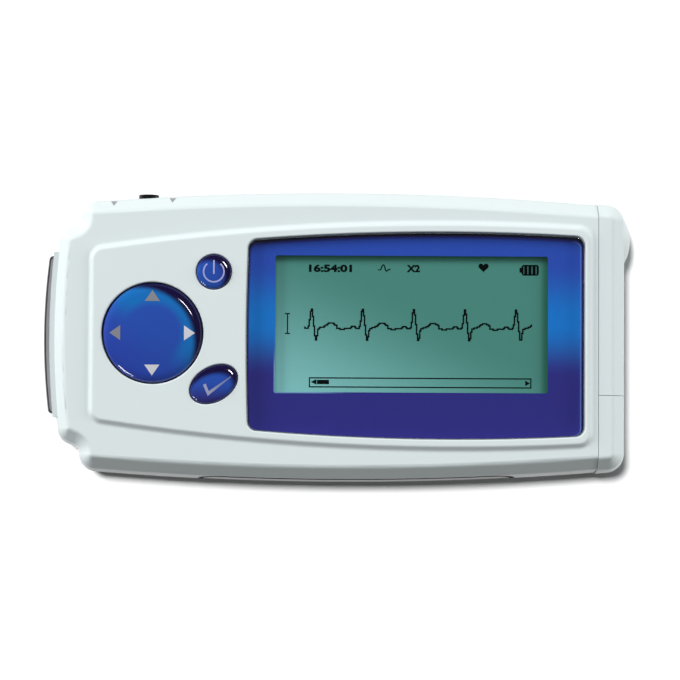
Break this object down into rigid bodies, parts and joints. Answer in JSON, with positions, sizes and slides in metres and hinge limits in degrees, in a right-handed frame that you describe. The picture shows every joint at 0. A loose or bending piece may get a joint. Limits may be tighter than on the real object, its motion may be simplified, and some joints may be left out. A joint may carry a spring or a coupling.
{
  "type": "handheld heart monitor",
  "caption": "Handheld heart-rhythm recorder with a bowed white case, a wide screen window, a round direction pad, two small keys and metal finger contacts.",
  "frame": {"origin": "middle of the flat back face", "axes": "+X along the length towards the battery door, +Y towards the lead socket, +Z out of the screen"},
  "size_m": [0.128, 0.0633, 0.022],
  "materials": {
    "shell_plastic": "satin, fine moulded texture",
    "key_plastic": "gloss",
    "window_clear": "gloss",
    "border_film": "gloss print",
    "gasket_foam": "matt",
    "display_glass": "satin",
    "diffuser_plastic": "satin",
    "frame_metal": "satin",
    "electrode_metal": "brushed",
    "board_laminate": "satin solder mask",
    "chip_resin": "matt",
    "part_metal": "satin",
    "ribbon_film": "satin",
    "spring_steel": "satin",
    "socket_plastic": "satin",
    "pivot_plastic": "satin",
    "tray_plastic": "satin",
    "cell_jacket": "gloss sleeve",
    "screw_steel": "zinc plated",
    "label_foil": "satin foil"
  },
  "bodies": {
    "case": {"front_case": "shell_plastic", "rear_case": "shell_plastic", "end_cap": "shell_plastic", "window_lens": "window_clear", "window_border": "border_film", "window_gasket": "gasket_foam", "lcd_glass": "display_glass", "lcd_backlight": "diffuser_plastic", "lcd_frame": "frame_metal", "lcd_ribbon": "ribbon_film", "lcd_connector": "socket_plastic", "main_board": "board_laminate", "processor_chip": "chip_resin", "memory_chip": "chip_resin", "amplifier_chip": "chip_resin", "clock_crystal": "part_metal", "shield_can": "part_metal", "beeper": "chip_resin", "clock_battery": "part_metal", "capacitors": "ribbon_film", "pad_domes": "spring_steel", "power_dome": "spring_steel", "enter_dome": "spring_steel", "pivot_post": "pivot_plastic", "lead_socket": "socket_plastic", "end_electrode": "electrode_metal", "finger_electrode": "electrode_metal", "end_contacts": "spring_steel", "finger_contacts": "spring_steel", "battery_tray": "tray_plastic", "battery_cell_1": "cell_jacket", "battery_cell_2": "cell_jacket", "battery_contacts": "spring_steel", "case_screws": "screw_steel", "board_screws": "screw_steel", "rating_plate": "label_foil"},
    "power_key": {"power_button": "key_plastic"},
    "enter_key": {"enter_button": "key_plastic"},
    "rocker": {"pivot_cup": "pivot_plastic"},
    "pad": {"direction_pad": "key_plastic"},
    "door": {"battery_door": "shell_plastic"}
  },
  "joints": [
    {"name": "power_press", "type": "slide", "parent": "case", "child": "power_key", "axis": [0, 0, -1], "range_m": [0, 0.0006], "stiffness_N_per_m": 1500, "deforming": ["power_dome"]},
    {"name": "enter_press", "type": "slide", "parent": "case", "child": "enter_key", "axis": [0, 0, -1], "range_m": [0, 0.0006], "stiffness_N_per_m": 1500, "deforming": ["enter_dome"]},
    {"name": "pad_rock_up_down", "type": "hinge", "parent": "case", "child": "rocker", "pos_m": [-0.03975, 0.00025, 0.0162], "axis": [1, 0, 0], "range_deg": [-2.5, 2.5], "stiffness_Nm_per_rad": 0.15, "deforming": ["pad_domes"]},
    {"name": "pad_rock_left_right", "type": "hinge", "parent": "rocker", "child": "pad", "pos_m": [-0.03975, 0.00025, 0.0162], "axis": [0, 1, 0], "range_deg": [-2.5, 2.5], "stiffness_Nm_per_rad": 0.15, "deforming": ["pad_domes"]},
    {"name": "battery_door_slide", "type": "slide", "parent": "case", "child": "door", "axis": [1, 0, 0], "range_m": [0, 0.055]}
  ]
}
